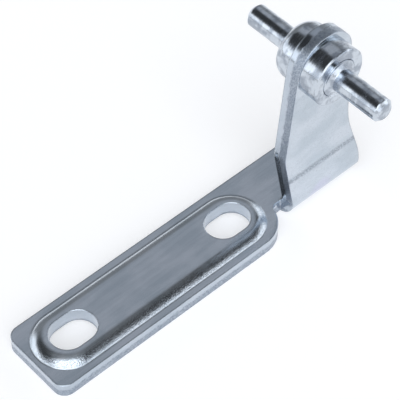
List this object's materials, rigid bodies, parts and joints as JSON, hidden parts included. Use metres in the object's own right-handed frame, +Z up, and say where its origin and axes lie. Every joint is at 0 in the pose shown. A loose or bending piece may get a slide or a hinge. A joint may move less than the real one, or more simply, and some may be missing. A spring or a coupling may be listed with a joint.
{
  "type": "fridge middle hinge",
  "caption": "Zinc-plated middle hinge for a two-door fridge: a slotted, embossed plate with a folded arm that carries a double-ended pin.",
  "frame": {"origin": "middle of the two-slot screw pattern, on the underside of the plate, where the plate seats on the cabinet", "axes": "+X along the plate from its free end towards the arm, +Y across the plate from the arm's side to the plain long edge, +Z up out of the plate towards the pin"},
  "size_m": [0.1007, 0.0433, 0.0599],
  "materials": {
    "zinc_sheet": "bright zinc plating over rolled and pressed steel sheet, fine speckle on the pressed flanks",
    "zinc_pin": "bright zinc plating over turned steel",
    "zinc_collar": "bright zinc plating over turned steel"
  },
  "bodies": {
    "root": {"bracket": "zinc_sheet", "hinge_pin": "zinc_pin", "front_collar": "zinc_collar"}
  },
  "joints": []
}
